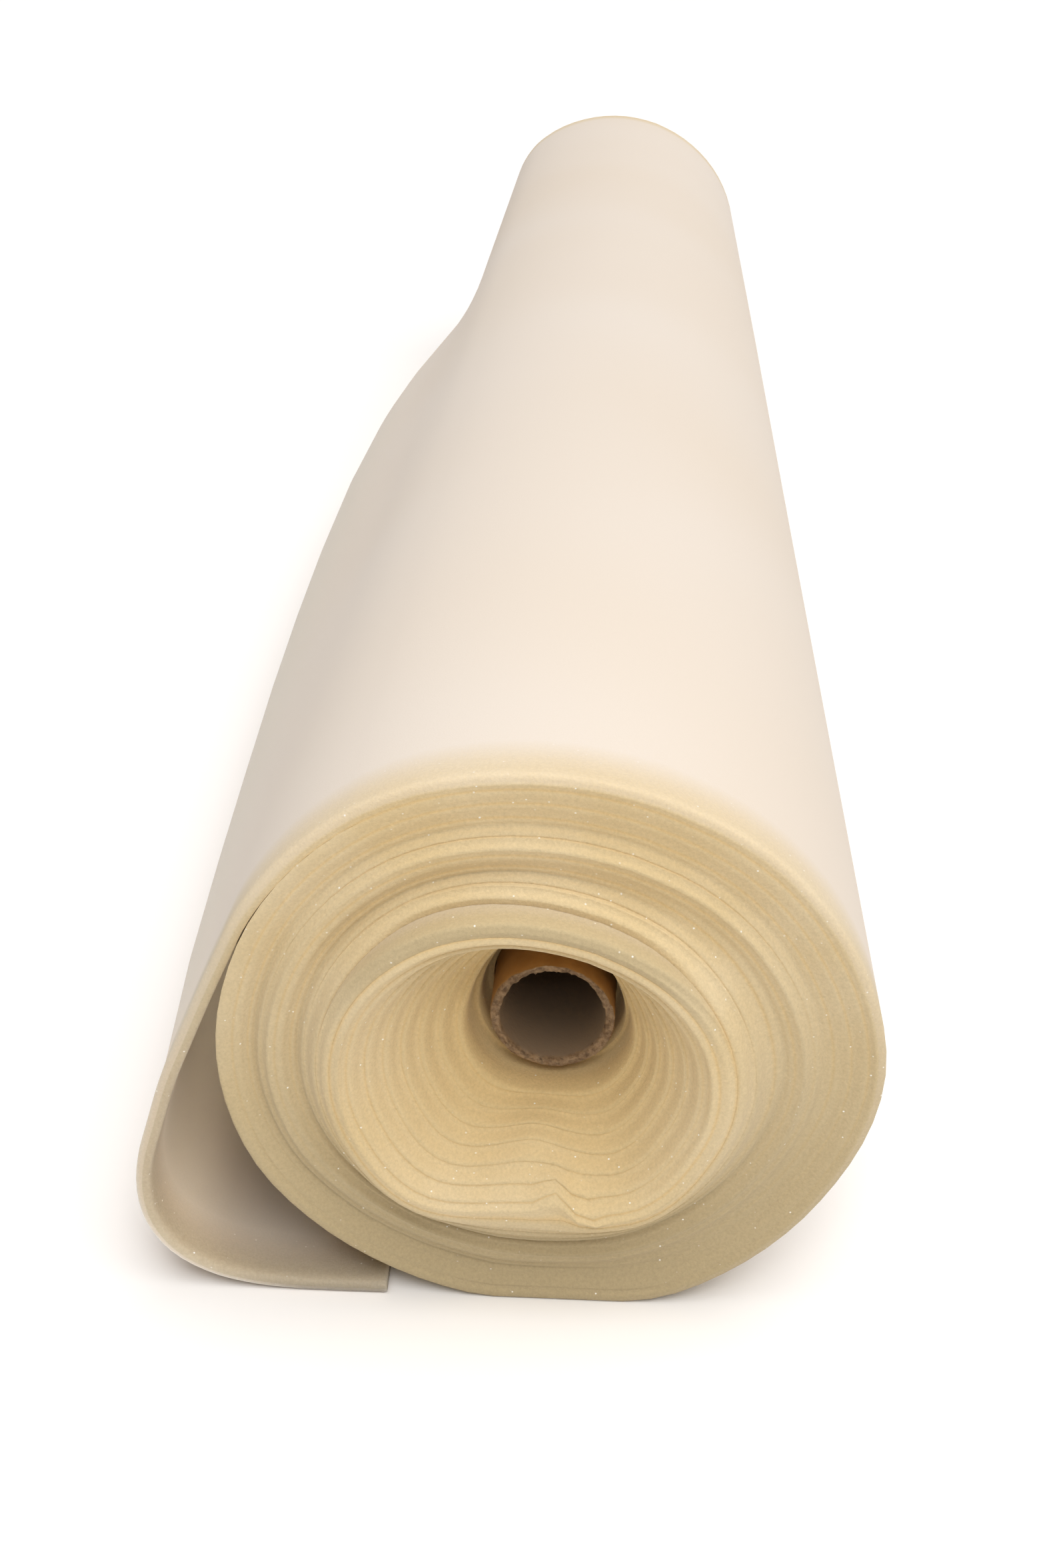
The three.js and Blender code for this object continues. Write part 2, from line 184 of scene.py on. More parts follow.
@dataclass(frozen=True)
class Winding:
    """The wound form of the sheet, in millimetres and turns from its inner end.

    Attributes:
        sheet_width: The sheet's full width, along the roll.
        thickness: The sheet's own thickness.
        axis_height: The roll's axis above the floor.
        bore_radius: The innermost turn's inner side.
        start_angle: Where the sheet starts on the core, in degrees.
        seam_angle: Where the loose end takes over, in degrees.
        full_turns: Whole turns from the start.
        inner_pitch: The innermost turn's thickness, pressed by the winding.
        pitch_gain: How much thicker each turn is than the one inside it.
        start_thickness: The pinched thickness at the very start.
        start_ramp: The share of a turn over which the pinch fades.
        slide: Turn and how far the near edge has slid back there.
        roof: Turn and how much further back the near edge lies over the core.
        lean: Boundary between two turns and how far their cut edges lean to meet over the core.
        above_from: The sines between which an angle counts as over the core.
        slump: Wound radius, and its ring's shift right and up and its flattening.
        bulge: Angle and how far the outside is pushed out at the near and far end.
        change: Share of the way along and how much of the far end's bulge it has.
        buckle: Wound radius and how far the funnel's floor is pushed up there.
        crease: Wound radius and how much more the fold beside the buckle rises.
        bulge_from: The radius from which the bulges start to show.
        pressed_from: The radius from which the floor presses the turns.
        buckle_angle: The middle of the buckle, in degrees.
        buckle_half_width: Half the buckle's width, in degrees.
        belly_away: How far from the buckle's middle the sheet bellies out, in degrees.
        belly_half_width: Half the belly's width, in degrees.
        belly_share: How far it bellies out, as a share of the buckle.
        buckle_reach: How deep the buckle goes in full, and where it has faded.
        crease_angle: The fold's line, in degrees.
        crease_sides: How wide the fold's slow left side and steep right side are, in degrees.
        crease_dip: How deep the dip beside the fold is, as a share of the fold.
        crease_dip_away: How far the dip is from the fold's line, in degrees.
    """

    sheet_width: float = 1473.0
    thickness: float = 6.35
    axis_height: float = 123.2
    bore_radius: float = 25.6
    start_angle: float = 70.0
    seam_angle: float = 120.0
    full_turns: int = 17
    inner_pitch: float = 5.38
    pitch_gain: float = 0.0675
    start_thickness: float = 0.4
    start_ramp: float = 0.15
    slide: Table = Table((
        (0.0, 60.0), (0.6, 58.0), (1.15, 30.0), (2.15, 24.0), (3.15, 17.0), (4.15, 10.5),
        (5.15, 4.5), (6.15, -1.5), (6.8, -6.0), (7.5, -9.0), (7.9, -13.5), (8.75, -13.5),
        (9.15, -11.5), (9.75, -11.5), (10.2, -5.0), (10.7, -4.0), (11.1, 4.0), (11.6, 2.5),
        (12.1, 0.5), (12.8, -1.5), (13.15, -1.3), (13.5, 1.0), (14.05, 6.3), (14.6, 4.6),
        (15.1, 3.4), (16.1, 1.4), (16.7, 0.3), (17.1, 0.0), (18.2, 0.0),
    ))
    roof: Table = Table((
        (0.0, 1.0), (0.7, 5.0), (1.1, 14.0), (2.1, 11.0), (3.1, 9.0), (4.1, 7.0), (5.1, 4.5),
        (6.1, 0.0), (7.1, -4.5), (8.1, -4.3), (9.1, -6.5), (10.1, 1.5), (11.1, 0.0), (18.2, 0.0),
    ))
    lean: Table = Table((
        (0.0, 1.0), (8.6, 1.0), (9.4, 0.0), (9.7, 0.0), (10.5, 0.75), (11.5, 1.0), (12.5, 1.0),
        (13.5, 0.85), (14.5, 1.0), (18.2, 1.0),
    ))
    above_from: Pair = (0.1, 0.95)
    slump: Table = Table((
        (25.6, 2.2, 0.4, 0.0), (34.0, 1.0, 0.2, 0.0), (50.0, -2.5, 0.0, 0.0),
        (72.0, -3.8, 0.0, 0.006), (105.0, -1.0, 0.0, 0.0125), (122.0, 0.0, 0.0, 0.0),
    ))
    bulge: Table = Table((
        (0.0, 4.3, 4.6), (13.0, 3.3, 4.2), (30.0, 2.0, 3.4), (50.0, 1.6, 2.0), (80.0, 0.8, 0.8),
        (110.0, 0.0, -1.2), (130.0, 0.0, -0.8), (140.0, 0.0, -3.4), (150.0, 0.0, -8.0),
        (160.0, 0.0, -10.4), (170.0, 0.6, -8.4), (180.0, 1.4, -4.0), (190.0, 2.0, 0.0),
        (205.0, 2.6, 1.5), (222.0, 0.9, 0.9), (240.0, -0.5, -0.5), (252.0, -1.0, -1.0),
        (270.0, 0.0, 0.0), (284.0, 1.6, 1.6), (295.0, 2.6, 2.6), (308.0, 1.7, 1.0),
        (330.0, 1.2, 1.5), (360.0, 4.3, 4.6),
    ))
    change: Table = Table(((0.0, 0.0), (0.3, 0.1), (0.5, 0.55), (0.68, 1.0), (1.0, 1.0)))
    buckle: Table = Table((
        (25.6, 0.0), (36.0, 4.0), (48.0, 11.0), (55.0, 13.5), (66.0, 12.0), (73.0, 12.0),
        (80.0, 7.0), (92.0, 0.0), (140.0, 0.0),
    ))
    crease: Table = Table((
        (25.6, 0.0), (56.0, 0.0), (66.0, 6.2), (72.0, 8.4), (79.0, 0.0), (140.0, 0.0),
    ))
    bulge_from: float = 60.0
    pressed_from: float = 75.0
    buckle_angle: float = 268.0
    buckle_half_width: float = 38.0
    belly_away: float = 42.0
    belly_half_width: float = 24.0
    belly_share: float = 0.15
    buckle_reach: Pair = (80.0, 320.0)
    crease_angle: float = 281.0
    crease_sides: Pair = (13.0, 4.5)
    crease_dip: float = 0.5
    crease_dip_away: float = 8.0

    @property
    def turns(self) -> float:
        """Return how many turns lie under the loose end's start."""
        return self.full_turns + (self.seam_angle - self.start_angle) / 360.0

    @property
    def near_edge(self) -> float:
        """Return where the outermost turn's near edge lies along the roll."""
        return -self.sheet_width / 2.0

    def angle(self, turn: float) -> float:
        """Return the angle that the sheet has reached, in degrees."""
        return self.start_angle + 360.0 * turn

    def edge(self, turn: float) -> float:
        """Find how far the near edge has slid back.

        Args:
            turn: How far along the winding.

        Returns:
            The distance behind the roll's near end, more over the core than under it.
        """
        return self.slide.at(turn) + self.above(turn) * self.roof.at(turn)

    def above(self, turn: float) -> float:
        """Return how much a turn is on the upper side of the roll, from 0 to 1."""
        return smooth(math.sin(math.radians(self.angle(turn))), *self.above_from)

    def pitch(self, turn: float) -> float:
        """Return the wound sheet's thickness at a turn."""
        full = self.inner_pitch + self.pitch_gain * turn
        return mix(self.start_thickness, full, smooth(turn, 0.0, self.start_ramp))

    def radius(self, turn: float) -> float:
        """Find the radius of the sheet's inner side: each turn lies on the one before.

        Args:
            turn: How far along the winding.

        Returns:
            The radius before the roll slumps.
        """
        found, below = self.bore_radius, turn - 1.0
        while below >= 0.0:
            found += self.pitch(below)
            below -= 1.0
        return found

    def outside(self, angle: float) -> float:
        """Return the outermost radius at an angle, without the loose end."""
        return self.radius(self.turns + ((angle - self.seam_angle) % 360.0) / 360.0)

    def buckle_share(self, angle: float) -> float:
        """Tell how much of the buckle an angle has.

        Args:
            angle: The angle, in degrees from 0 to 360.

        Returns:
            The share, slightly below zero where the sheet bellies out beside the buckle.
        """
        def bell(centre: float, half_width: float) -> float:
            """Return a smooth bump of height 1."""
            away = abs(angle - centre)
            return 0.5 + 0.5 * math.cos(math.pi * away / half_width) if away < half_width else 0.0

        left = bell(self.buckle_angle - self.belly_away, self.belly_half_width)
        right = bell(self.buckle_angle + self.belly_away, self.belly_half_width)
        middle = bell(self.buckle_angle, self.buckle_half_width)
        return middle - self.belly_share * (left + right)

    def crease_share(self, angle: float) -> float:
        """Tell how much of the fold beside the buckle an angle has, steep on its right.

        Args:
            angle: The angle, in degrees from 0 to 360.

        Returns:
            The share, below zero in the dip beside the fold.
        """
        away = angle - self.crease_angle
        slow, steep = self.crease_sides
        if away <= 0.0:
            return smooth(away, -slow, 0.0)
        dip = 1.0 - smooth(abs(away - self.crease_dip_away), 0.0, self.crease_dip_away)
        return 1.0 - smooth(away, 0.0, steep) - self.crease_dip * dip

    def settle(self, radius: float, angle: float, along: float, depth: float) -> tuple[float, float]:
        """Move a point of the round winding to where the slumped roll has it.

        Args:
            radius: The point's wound radius.
            angle: Its angle, in degrees.
            along: The share of the way along the roll.
            depth: How far it lies behind the roll's near end.

        Returns:
            Its place to the right and above the floor.
        """
        turned = angle % 360.0
        across, upward = math.cos(math.radians(turned)), math.sin(math.radians(turned))
        flatten = self.slump.at(radius, 3)
        outside = self.outside(turned)
        push = mix(self.bulge.at(turned, 1), self.bulge.at(turned, 2), self.change.at(along))
        reach = radius + smooth(radius, self.bulge_from, outside) * push
        if upward < 0.0:
            to_floor = self.axis_height / (-upward * (1.0 - flatten))
            widest = outside + push
            if to_floor < widest:
                pressed = smooth(radius, self.pressed_from, outside)
                reach *= 1.0 - pressed * (1.0 - to_floor / widest)
        fade = 1.0 - smooth(depth, *self.buckle_reach)
        if fade > 0.0:
            rise = self.buckle.at(radius) * self.buckle_share(turned)
            fold = self.crease.at(radius) * self.crease_share(turned)
            reach -= fade * (rise + fold)
        right = self.slump.at(radius, 1) + reach * across * (1.0 + flatten)
        height = self.axis_height + self.slump.at(radius, 2) + reach * upward * (1.0 - flatten)
        return right, max(height, 0.0)


@dataclass(frozen=True)
class LooseForm:
    """The loose end's middle line where it has left the roll, in millimetres.

    Attributes:
        line: Rows of right and up at the near end, halfway along and at the far end, and the
            share of the way along from which the row is back in its far form.
        wrap: The angles where the loose end still lies on the roll, in degrees.
        length: The loose end's length, from the seam to its cut edge.
        bow: Share of the way along, and how much of the halfway form the loose end has there.
        peak: The share of the way along where the halfway form is reached.
    """

    line: tuple[Row, ...] = (
        (-112.6, 188.2, -114.0, 187.0, -105.6, 184.2, 0.65),
        (-121.8, 169.8, -132.0, 166.5, -112.3, 165.0, 0.69),
        (-139.2, 132.4, -157.0, 138.0, -125.6, 130.0, 0.77),
        (-149.2, 109.8, -172.5, 116.0, -133.2, 110.0, 0.84),
        (-157.3, 86.7, -186.5, 92.0, -141.1, 89.0, 0.9),
        (-162.6, 70.5, -194.0, 74.0, -147.5, 71.0, 0.95),
        (-165.4, 54.0, -198.0, 56.0, -151.5, 53.0, 1.0),
        (-163.4, 35.5, -196.5, 37.0, -150.8, 36.0, 1.0),
        (-155.3, 21.0, -188.0, 21.5, -143.5, 21.0, 1.0),
        (-140.0, 10.2, -173.0, 10.4, -129.0, 10.0, 1.0),
        (-123.4, 5.4, -156.5, 5.5, -112.0, 5.0, 1.0),
        (-106.6, 3.6, -140.0, 3.6, -95.0, 3.5, 1.0),
        (-89.8, 3.175, -123.0, 3.175, -78.0, 3.175, 1.0),
        (-69.0, 3.175, -102.0, 3.175, -55.0, 3.175, 1.0),
        (-40.0, 3.175, -73.0, 3.175, -30.0, 3.175, 1.0),
    )
    wrap: tuple[float, ...] = (110.0, 120.0, 130.0, 140.0)
    length: float = 341.0
    bow: Table = Table((
        (0.0, 0.0), (0.1, 0.34), (0.2, 0.6), (0.3, 0.82), (0.42, 0.98), (0.5, 1.0), (0.6, 0.93),
        (0.7, 0.76), (0.8, 0.5), (0.9, 0.22), (1.0, 0.0),
    ))
    peak: float = 0.5

    def row_at(self, row: Row, along: float) -> Vector:
        """Place one row of the line at a share of the way along the roll.

        Args:
            row: The row.
            along: The share of the way along.

        Returns:
            The point, with its place along the roll left at zero.
        """
        late = along > self.peak
        settling = (1.0 - self.peak) / (row[6] - self.peak)
        share = self.peak + (along - self.peak) * settling if late else along
        bow = self.bow.at(share)
        right, up = (row[4], row[5]) if late else (row[0], row[1])
        return Vector((mix(right, row[2], bow), 0.0, mix(up, row[3], bow)))

    def points(self, winding: Winding, along: float) -> list[Vector]:
        """List the points that the middle line goes through.

        Args:
            winding: The roll that the loose end comes off.
            along: The share of the way along the roll.

        Returns:
            The points, from before the seam to past the cut edge.
        """
        lift = winding.thickness / 2.0
        found = []
        for angle in self.wrap:
            base = winding.outside(max(angle, winding.seam_angle))
            right, up = winding.settle(base + lift, angle, along, winding.sheet_width)
            found.append(Vector((right, 0.0, up)))
        return found + [self.row_at(row, along) for row in self.line]


class Curve:
    """A smooth line through points, read by the length along it."""

    def __init__(self, points: list[Vector], first: int, steps: int = 14) -> None:
        """Lay the line.

        Args:
            points: The points it goes through.
            first: The number of the point from which its length is counted.
            steps: How many short pieces each stretch is cut into.
        """
        self.places: list[Vector] = []
        self.lengths: list[float] = []
        for index in range(first, len(points) - 1):
            start, end = points[index], points[index + 1]
            span = (end - start).length
            out = self._tangent(points, index) * span
            into = self._tangent(points, index + 1) * span
            for step in range(steps):
                self._add(start, end, out, into, step / steps)
        self._add(start, end, out, into, 1.0)

    @staticmethod
    def _tangent(points: list[Vector], index: int) -> Vector:
        """Find the line's direction at a point, by its neighbours on both sides.

        Args:
            points: The points that the line goes through.
            index: The point's number.

        Returns:
            The direction.
        """
        if index == len(points) - 1:
            return (points[index] - points[index - 1]).normalized()
        if index == 0:
            return (points[1] - points[0]).normalized()
        before, after = points[index] - points[index - 1], points[index + 1] - points[index]
        return (before.normalized() * after.length + after.normalized() * before.length) / (
            before.length + after.length
        )

    def _add(self, start: Vector, end: Vector, out: Vector, into: Vector, share: float) -> None:
        """Add one point of a stretch and its length so far.

        Args:
            start: Where the stretch starts.
            end: Where it ends.
            out: Its direction and speed at the start.
            into: Its direction and speed at the end.
            share: How far along the stretch the point is.
        """
        square, cube = share * share, share * share * share
        place = (
            start * (2.0 * cube - 3.0 * square + 1.0)
            + out * (cube - 2.0 * square + share)
            + end * (3.0 * square - 2.0 * cube)
            + into * (cube - square)
        )
        gone = (place - self.places[-1]).length if self.places else 0.0
        self.lengths.append((self.lengths[-1] if self.lengths else 0.0) + gone)
        self.places.append(place)

    def at(self, length: float) -> tuple[Vector, Vector]:
        """Read the line at a length.

        Args:
            length: How far along it.

        Returns:
            The place and the direction there.
        """
        index = min(max(bisect_right(self.lengths, length) - 1, 0), len(self.lengths) - 2)
        low, high = self.lengths[index], self.lengths[index + 1]
        share = (length - low) / (high - low)
        place = self.places[index].lerp(self.places[index + 1], share)
        ahead = self.places[min(index + 2, len(self.places) - 1)] - self.places[index + 1]
        behind = self.places[index + 1] - self.places[max(index - 1, 0)]
        direction = behind.normalized().lerp((behind + ahead).normalized(), share)
        return place, direction.normalized()


# The foam sheet

class Side(Enum):
    """The two cut edges of the sheet, by the way that their depth is counted along the roll."""

    NEAR = 1.0
    FAR = -1.0


@dataclass(frozen=True)
class Spot:
    """One place on the outline of the sheet's cross-section.

    Attributes:
        level: 0 on the sheet's inner side, 1 on its outer side.
        side: The cut edge that the depth is counted from.
        depth: How far in from that edge, in millimetres.
        share: How far in from that edge, as a share of the width, on top of the depth.
        drawn_in: How much of the corner's rounding the depth has.
        rounded: How much of the corner's rounding the spot is moved in from its broad side.
        inset: How much further it is moved in, in millimetres.
        crowned: How much of the cut edge's crown the spot has.
    """

    level: float
    side: Side
    depth: float = 0.0
    share: float = 0.0
    drawn_in: float = 0.0
    rounded: float = 0.0
    inset: float = 0.0
    crowned: float = 0.0


@dataclass(frozen=True)
class Station:
    """One place along the sheet's length.

    Attributes:
        turn: Turns from the sheet's inner end.
        travelled: Length from the inner end, in millimetres.
        loose: Length past the seam, in millimetres, or none while the sheet is wound.
        full: How much of the thickness there is, less than 1 where the cut end is rounded.
    """

    turn: float
    travelled: float
    loose: float | None = None
    full: float = 1.0


@dataclass
class FoamSheet:
    """The faced foam sheet: wound, slumped, buckled and loose in one unbroken length.

    Its sizes are in millimetres, except where another unit is given.

    Attributes:
        winding: The wound form.
        loose: The loose end's form.
        columns_per_turn: Steps along the sheet in each turn.
        loose_steps: Steps along the loose end.
        corner_steps: Steps round each corner of a cut edge.
        corner_radius: Boundary between two turns, and the rounding of the corners at it.
        most_corner: The most that a corner is rounded, as a share of the turn's thickness.
        inset: How wide the darker line beside a boundary is on either side.
        most_inset: The most that a spot is moved in, as a share of the turn's thickness.
        loose_corner: The rounding of the loose end's inner corner.
        loose_from: The lengths past the seam between which that rounding sets in.
        hangs_from: The lengths past the seam between which the sheet comes to hang free.
        below_share: How much of the rounding is left beside and under the core.
        hidden_share: How much of the rounding a corner has that its neighbour stands in front of.
        exposed_from: How far in front of its neighbour a corner stands as its rounding sets in.
        below_from: The sines between which an angle counts as under the core.
        below_crown: How much of the crown is left under the core.
        crown: Turn and how far its cut edge swells out between its corners.
        crowned: Levels across the cut edge and their share of the crown.
        inset_crown: The inset spots' share of the crown.
        seam_steps: How far two turns step apart as the line between them fades out.
        depths: Where the broad sides have points near a cut edge.
        shares: Where the broad sides have points in between, as shares of the width.
        end_rounding: How far before the cut end the sheet thins, and what is left of it.
        yellowed: From which depth to which the cut edge's yellow fades out.
        deep_to: The turn where the painted bounce light tint near the core has faded out.
        shade_height: How far above the floor the cut edge gets painted shade, darker towards the floor, in
            metres.
        shade_turns: The turns between which that painted shade sets in.
        painted_shade: Turn and how much painted shade its cut edge gets over the core, where it stands out
            most.
        paler_from: The boundaries between which the outermost corner gets paler.
        paler_share: How much paler it gets.
        waver: How far the cut edges stray, as pairs of wavelength and distance.
        waver_drift: How fast the waver changes from turn to turn.
        waver_apart: How far apart the two cut edges' wavers are.
        waver_reach: How far in from its cut edge the sheet wavers.
        usual_corner: The corner's rounding that the sheet's flat map is measured with.
    """

    winding: Winding = field(default_factory=Winding)
    loose: LooseForm = field(default_factory=LooseForm)
    columns_per_turn: int = 72
    loose_steps: int = 62
    corner_steps: int = 3
    corner_radius: Table = Table((
        (0.0, 0.1), (8.0, 0.1), (9.0, 0.4), (9.6, 1.6), (10.4, 1.4), (11.2, 0.2), (11.8, 0.03),
        (13.2, 0.03), (13.7, 0.2), (14.2, 0.03), (17.24, 0.03), (17.4, 2.0), (18.2, 2.2),
    ))
    most_corner: float = 0.36
    inset: float = 1.0
    most_inset: float = 0.42
    loose_corner: float = 1.8
    loose_from: Pair = (40.0, 120.0)
    hangs_from: Pair = (30.0, 180.0)
    below_share: float = 0.1
    hidden_share: float = 0.06
    exposed_from: Pair = (-0.5, 2.0)
    below_from: Pair = (0.0, 0.7)
    below_crown: float = 0.65
    crown: Table = Table(((0.0, 1.1), (6.0, 1.3), (8.0, 0.7), (9.5, 0.3), (11.0, 0.15), (18.2, 0.1)))
    crowned: tuple[Row, ...] = ((0.27, 0.78), (0.5, 1.0), (0.73, 0.78))
    inset_crown: float = 0.4
    seam_steps: Pair = (3.0, 8.0)
    depths: tuple[float, ...] = (5.0, 12.0, 26.0, 55.0)
    shares: tuple[float, ...] = (
        0.09, 0.15, 0.21, 0.28, 0.35, 0.42, 0.5, 0.58, 0.65, 0.72, 0.79, 0.86, 0.93,
    )
    end_rounding: tuple[Pair, ...] = ((1.4, 1.0), (0.5, 0.9), (0.1, 0.72), (0.0, 0.5))
    yellowed: Pair = (4.0, 30.0)
    deep_to: float = 9.0
    shade_height: float = 0.24
    shade_turns: Pair = (8.0, 12.0)
    painted_shade: Table = Table(((8.3, 0.0), (8.8, 0.8), (9.3, 0.8), (9.7, 0.0)))
    paler_from: Pair = (17.4, 18.1)
    paler_share: float = 0.3
    waver: tuple[Pair, ...] = ((45.0, 0.8), (14.0, 0.25))
    waver_drift: float = 0.9
    waver_apart: float = 20.0
    waver_reach: float = 60.0
    usual_corner: float = 1.5
    _curves: dict[float, Curve] = field(default_factory=dict, init=False, repr=False)

    def edge_spots(self, side: Side, start: float) -> list[Spot]:
        """List the spots over one cut edge.

        Args:
            side: Which edge.
            start: The broad side to start from, 0 or 1.

        Returns:
            The spots, over to the other broad side.
        """
        end = 1.0 - start
        bends = [math.pi / 2.0 * step / self.corner_steps for step in range(self.corner_steps + 1)]
        corner = [(1.0 - math.sin(bend), 1.0 - math.cos(bend)) for bend in bends]
        spots = [Spot(start, side, depth) for depth in reversed(self.depths)]
        spots += [Spot(start, side, drawn_in=back, rounded=over) for back, over in corner]
        crowned = self.crowned if start < 0.5 else tuple(reversed(self.crowned))
        first, last = (
            Spot(level, side, rounded=1.0, inset=self.inset, crowned=self.inset_crown)
            for level in (start, end)
        )
        spots += [first, *(Spot(level, side, crowned=share) for level, share in crowned), last]
        spots += [Spot(end, side, drawn_in=back, rounded=over) for back, over in reversed(corner)]
        return spots + [Spot(end, side, depth) for depth in self.depths]

    def outline(self) -> list[Spot]:
        """List the cross-section's spots once round the sheet.

        Returns:
            The spots, from the middle of the inner side on.
        """
        inner = [Spot(0.0, Side.NEAR, share=share) for share in reversed(self.shares)]
        outer = [Spot(1.0, Side.NEAR, share=share) for share in self.shares]
        return inner + self.edge_spots(Side.NEAR, 0.0) + outer + self.edge_spots(Side.FAR, 1.0)

    def stations(self) -> list[Station]:
        """List the stations along the sheet.

        Returns:
            The stations, from the inner end to the loose end's cut edge.
        """
        steps = round(self.winding.turns * self.columns_per_turn)
        found: list[Station] = []
        travelled = 0.0
        for step in range(steps + 1):
            turn = step / self.columns_per_turn
            if step:
                travelled += math.tau / self.columns_per_turn * self.winding.radius(turn)
            found.append(Station(turn, travelled))
        length = self.loose.length
        places = [length * step / self.loose_steps for step in range(1, self.loose_steps)]
        shapes = [(place, 1.0) for place in places]
        shapes += [(length - back, full) for back, full in self.end_rounding]
        return found + [
            Station(self.winding.turns, travelled + place, place, full) for place, full in shapes
        ]

    def painted_shade_share(self, station: Station, height: float) -> float:
        """Tell how much painted shade the cut edge gets, darker towards the floor and on the lip over the
        core.

        Args:
            station: The station.
            height: The place's height above the floor, in metres.

        Returns:
            The share of the painted shade colour.
        """
        # Painted shade: the outer turns' cut edge darker towards the floor, and the lip over the core darker.
        lower = 1.0 - smooth(height, 0.0, self.shade_height)
        below = lower * smooth(station.turn, *self.shade_turns)
        return max(below, self.winding.above(station.turn) * self.painted_shade.at(station.turn))

    def seam_shade_share(self, station: Station, spot: Spot) -> float:
        """Tell how much painted shade a spot gets along the line between two turns.

        Args:
            station: The station.
            spot: The spot of the cross-section.

        Returns:
            1 at a boundary between two turns, 0 away from it and on the outside.
        """
        winding = self.winding
        if not spot.rounded and not spot.drawn_in or spot.inset > 0.0:
            return 0.0
        if station.turn + spot.level > winding.turns:
            return 0.0
        beside = max(station.turn - 1.0, 0.0) if spot.level < 0.5 else station.turn + 1.0
        step = abs(winding.edge(beside) - winding.edge(station.turn))
        return 1.0 - smooth(step, *self.seam_steps)

    def stray(self, turn: float, side: Side) -> float:
        """Find how far a wound cut edge wavers from its line.

        Args:
            turn: How far along the winding.
            side: Which edge.

        Returns:
            The distance back.
        """
        radius, angle = self.winding.radius(turn), math.radians(self.winding.angle(turn))
        place = Vector((radius * math.cos(angle), radius * math.sin(angle), 0.0))
        seed = Vector((0.0, 0.0, self.waver_drift * turn + self.waver_apart * side.value))
        return sum(
            distance * noise.noise(place / wavelength + seed) for wavelength, distance in self.waver
        )

    def depth_at(self, station: Station, spot: Spot) -> tuple[float, float]:
        """Find where along the roll a spot lies.

        Args:
            station: The station.
            spot: The spot of the cross-section.

        Returns:
            Its distance behind the roll's near end, and in from its own cut edge.
        """
        width = self.winding.sheet_width
        corner = self.corner(station, spot.level)
        own = spot.depth + spot.drawn_in * corner + spot.share * width
        if spot.crowned:
            below = self.below(station.turn)
            own -= spot.crowned * self.crown.at(station.turn) * mix(1.0, self.below_crown, below)
        start = self.winding.edge(station.turn)
        if spot.side is Side.FAR:
            start += width
        near_share = 1.0 - smooth(own, 0.0, self.waver_reach)
        start += near_share * self.strayed(station, spot)
        return start + spot.side.value * own, own

    def strayed(self, station: Station, spot: Spot) -> float:
        """Find how far a cut edge is from its smooth line: it wavers, and leans to the edges beside it.

        Args:
            station: The station.
            spot: The spot of the cross-section.

        Returns:
            The distance back.
        """
        winding, turn = self.winding, station.turn
        here = self.stray(turn, spot.side)
        inward = spot.level < 0.5
        beside = max(turn - 1.0, 0.0) if inward else min(turn + 1.0, winding.turns)
        boundary = turn - 0.5 if inward else turn + 0.5
        reach = mix(1.0, winding.lean.at(boundary), winding.above(turn))
        if station.loose is not None:
            beside += station.loose / (math.tau * winding.radius(turn))
            reach = 1.0 - smooth(station.loose, *self.loose_from) if inward else 0.0
        apart = winding.edge(beside) + self.stray(beside, spot.side) - winding.edge(turn) - here
        return here + reach * abs(spot.level - 0.5) * apart

    def below(self, turn: float) -> float:
        """Return how much a turn is on the lower side of the roll, from 0 to 1."""
        return smooth(-math.sin(math.radians(self.winding.angle(turn))), *self.below_from)

    def corner(self, station: Station, level: float) -> float:
        """Find the rounding of a corner of the cut edge.

        Args:
            station: The station.
            level: 0 for the corner on the sheet's inner side, 1 for the one on its outer side.

        Returns:
            The corner's radius.
        """
        winding = self.winding
        boundary = station.turn + level
        rounding = self.corner_radius.at(boundary)
        if station.loose is not None:
            if level < 0.5:
                flush = self.corner_radius.at(winding.full_turns)
                rounding = mix(flush, self.loose_corner, smooth(station.loose, *self.loose_from))
        elif boundary < winding.turns:
            beside = max(station.turn - 1.0, 0.0) if level < 0.5 else station.turn + 1.0
            ahead = winding.edge(beside) - winding.edge(station.turn)
            rounding *= mix(self.below_share, 1.0, winding.above(station.turn))
            rounding *= mix(self.hidden_share, 1.0, smooth(ahead, *self.exposed_from))
        return min(rounding, self.most_corner * winding.pitch(station.turn))

    def place(self, station: Station, spot: Spot) -> Vector:
        """Find where a spot of the cross-section lies.

        Args:
            station: The station.
            spot: The spot.

        Returns:
            The place in the row frame, in metres.
        """
        winding = self.winding
        depth, _ = self.depth_at(station, spot)
        along = depth / winding.sheet_width
        level, over = self.across(station, spot)
        if station.loose is None:
            low, high = winding.radius(station.turn), winding.radius(station.turn + 1.0)
            radius = mix(low, high, level) + over
            right, up = winding.settle(radius, winding.angle(station.turn), along, depth)
        else:
            curve = self.curve(min(max(along, 0.0), 1.0))
            centre, direction = curve.at(station.loose)
            away = ((level - 0.5) * winding.thickness + over) * station.full
            right = centre.x + direction.z * away
            up = max(centre.z - direction.x * away, 0.0)
        return Vector((right, depth + winding.near_edge, up)) * MILLIMETRE

    def across(self, station: Station, spot: Spot) -> tuple[float, float]:
        """Find how far through the sheet's thickness a spot lies.

        Args:
            station: The station.
            spot: The spot.

        Returns:
            Its level, and how much further out it is, in millimetres.
        """
        thick = self.winding.pitch(station.turn)
        most = self.most_inset * thick
        if spot.crowned and not spot.inset:
            low = min(self.corner(station, 0.0) + self.inset, most)
            high = thick - min(self.corner(station, 1.0) + self.inset, most)
            return mix(low, high, spot.level) / thick, 0.0
        over = min(spot.rounded * self.corner(station, spot.level) + spot.inset, most)
        return spot.level, -over if spot.level > 0.5 else over

